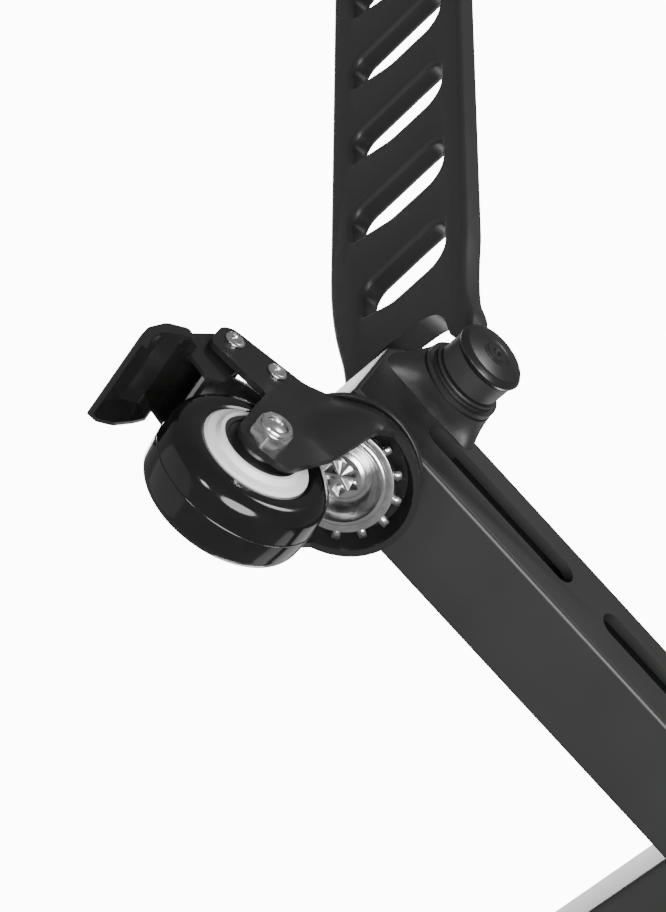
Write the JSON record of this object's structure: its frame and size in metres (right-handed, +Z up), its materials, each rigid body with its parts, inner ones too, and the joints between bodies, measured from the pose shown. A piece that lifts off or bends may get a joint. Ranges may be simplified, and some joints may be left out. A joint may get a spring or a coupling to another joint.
{
  "type": "wheel dolly",
  "caption": "Low U-shaped dolly that carries a road wheel on rollers between slotted beams, with braked swivel casters and a folding lattice handle.",
  "frame": {"origin": "on the floor, under the middle of the dolly's bounding box", "axes": "+Z up, +Y towards the folding upright, +X to the right"},
  "size_m": [0.5158, 0.9418, 0.9227],
  "materials": {
    "beam_paint": "satin powder coat",
    "fork_paint": "semi-gloss coat",
    "pedal_paint": "gloss coat",
    "tyre": "gloss polyurethane",
    "hub": "smooth white",
    "zinc": "bright zinc",
    "steel": "polished",
    "seal": "satin",
    "lattice": "satin powder coat",
    "grip": "matt foam rubber",
    "button": "satin",
    "cap_plastic": "satin",
    "roller": "zinc plated"
  },
  "bodies": {
    "base": {"left_foot_beam": "beam_paint", "right_foot_beam": "beam_paint", "cross_tube": "beam_paint", "front_caps": "cap_plastic", "swivel_races": "zinc", "bearing_balls": "steel", "kingpins": "zinc", "lock_rings": "zinc", "pivot_pins": "zinc"},
    "upright": {"left_lattice": "lattice", "right_lattice": "lattice", "handle_tube": "beam_paint", "handle_grip": "grip", "socket_screws": "zinc"},
    "left_rear_swivel": {"left_rear_fork": "fork_paint", "left_rear_axle_bolt": "zinc", "left_rear_lock_nut": "zinc", "left_rear_rivets": "zinc", "left_rear_brake_leaf": "zinc"},
    "left_rear_wheel": {"left_rear_tyre": "tyre", "left_rear_hub": "hub", "left_rear_bearings": "seal"},
    "left_rear_pedal": {"left_rear_pedal": "pedal_paint"},
    "left_front_swivel": {"left_front_fork": "fork_paint", "left_front_axle_bolt": "zinc", "left_front_lock_nut": "zinc"},
    "left_front_wheel": {"left_front_tyre": "tyre", "left_front_hub": "hub", "left_front_bearings": "seal"},
    "left_lock_button": {"left_lock_button": "button"},
    "left_carriage": {"left_carriage": "beam_paint", "left_roller_axle": "zinc", "left_clamp_bolts": "zinc"},
    "left_roller": {"left_roller": "roller"},
    "right_rear_swivel": {"right_rear_fork": "fork_paint", "right_rear_axle_bolt": "zinc", "right_rear_lock_nut": "zinc", "right_rear_rivets": "zinc", "right_rear_brake_leaf": "zinc"},
    "right_rear_wheel": {"right_rear_tyre": "tyre", "right_rear_hub": "hub", "right_rear_bearings": "seal"},
    "right_rear_pedal": {"right_rear_pedal": "pedal_paint"},
    "right_front_swivel": {"right_front_fork": "fork_paint", "right_front_axle_bolt": "zinc", "right_front_lock_nut": "zinc"},
    "right_front_wheel": {"right_front_tyre": "tyre", "right_front_hub": "hub", "right_front_bearings": "seal"},
    "right_lock_button": {"right_lock_button": "button"},
    "right_carriage": {"right_carriage": "beam_paint", "right_roller_axle": "zinc", "right_clamp_bolts": "zinc"},
    "right_roller": {"right_roller": "roller"}
  },
  "joints": [
    {"name": "upright_fold", "type": "hinge", "parent": "base", "child": "upright", "pos_m": [0, 0.1019, 0.1327], "axis": [1, 0, 0], "range_deg": [0, 100]},
    {"name": "left_rear_swivel_turn", "type": "hinge", "parent": "base", "child": "left_rear_swivel", "pos_m": [-0.21, 0.1101, 0.0811], "axis": [0, 0, 1], "continuous": true},
    {"name": "left_rear_wheel_spin", "type": "hinge", "parent": "left_rear_swivel", "child": "left_rear_wheel", "pos_m": [-0.20472, 0.13607, 0.0315], "axis": [-0.9799, 0.1994, 0], "continuous": true},
    {"name": "left_rear_pedal_press", "type": "hinge", "parent": "left_rear_swivel", "child": "left_rear_pedal", "pos_m": [-0.19866, 0.16586, 0.0755], "axis": [-0.9799, 0.1994, 0], "range_deg": [0, 6]},
    {"name": "left_front_swivel_turn", "type": "hinge", "parent": "base", "child": "left_front_swivel", "pos_m": [-0.21, -0.4299, 0.0811], "axis": [0, 0, 1], "continuous": true},
    {"name": "left_front_wheel_spin", "type": "hinge", "parent": "left_front_swivel", "child": "left_front_wheel", "pos_m": [-0.21323, -0.40359, 0.0315], "axis": [-0.9925, -0.1219, 0], "continuous": true},
    {"name": "left_button_press", "type": "slide", "parent": "upright", "child": "left_lock_button", "axis": [1, 0, 0], "range_m": [0, 0.002], "stiffness_N_per_m": 900},
    {"name": "left_carriage_slide", "type": "slide", "parent": "base", "child": "left_carriage", "axis": [0, 1, 0], "range_m": [-0.02, 0.02]},
    {"name": "left_roller_spin", "type": "hinge", "parent": "left_carriage", "child": "left_roller", "pos_m": [-0.1657, -0.26049, 0.1171], "axis": [0, 1, 0], "continuous": true},
    {"name": "right_rear_swivel_turn", "type": "hinge", "parent": "base", "child": "right_rear_swivel", "pos_m": [0.21, 0.1101, 0.0811], "axis": [0, 0, 1], "continuous": true},
    {"name": "right_rear_wheel_spin", "type": "hinge", "parent": "right_rear_swivel", "child": "right_rear_wheel", "pos_m": [0.20472, 0.13607, 0.0315], "axis": [-0.9799, -0.1994, 0], "continuous": true},
    {"name": "right_rear_pedal_press", "type": "hinge", "parent": "right_rear_swivel", "child": "right_rear_pedal", "pos_m": [0.19866, 0.16586, 0.0755], "axis": [-0.9799, -0.1994, 0], "range_deg": [0, 6]},
    {"name": "right_front_swivel_turn", "type": "hinge", "parent": "base", "child": "right_front_swivel", "pos_m": [0.21, -0.4299, 0.0811], "axis": [0, 0, 1], "continuous": true},
    {"name": "right_front_wheel_spin", "type": "hinge", "parent": "right_front_swivel", "child": "right_front_wheel", "pos_m": [0.21323, -0.40359, 0.0315], "axis": [-0.9925, 0.1219, 0], "continuous": true},
    {"name": "right_button_press", "type": "slide", "parent": "upright", "child": "right_lock_button", "axis": [-1, 0, 0], "range_m": [0, 0.002], "stiffness_N_per_m": 900},
    {"name": "right_carriage_slide", "type": "slide", "parent": "base", "child": "right_carriage", "axis": [0, 1, 0], "range_m": [-0.02, 0.02]},
    {"name": "right_roller_spin", "type": "hinge", "parent": "right_carriage", "child": "right_roller", "pos_m": [0.1657, -0.26049, 0.1171], "axis": [0, 1, 0], "continuous": true}
  ]
}
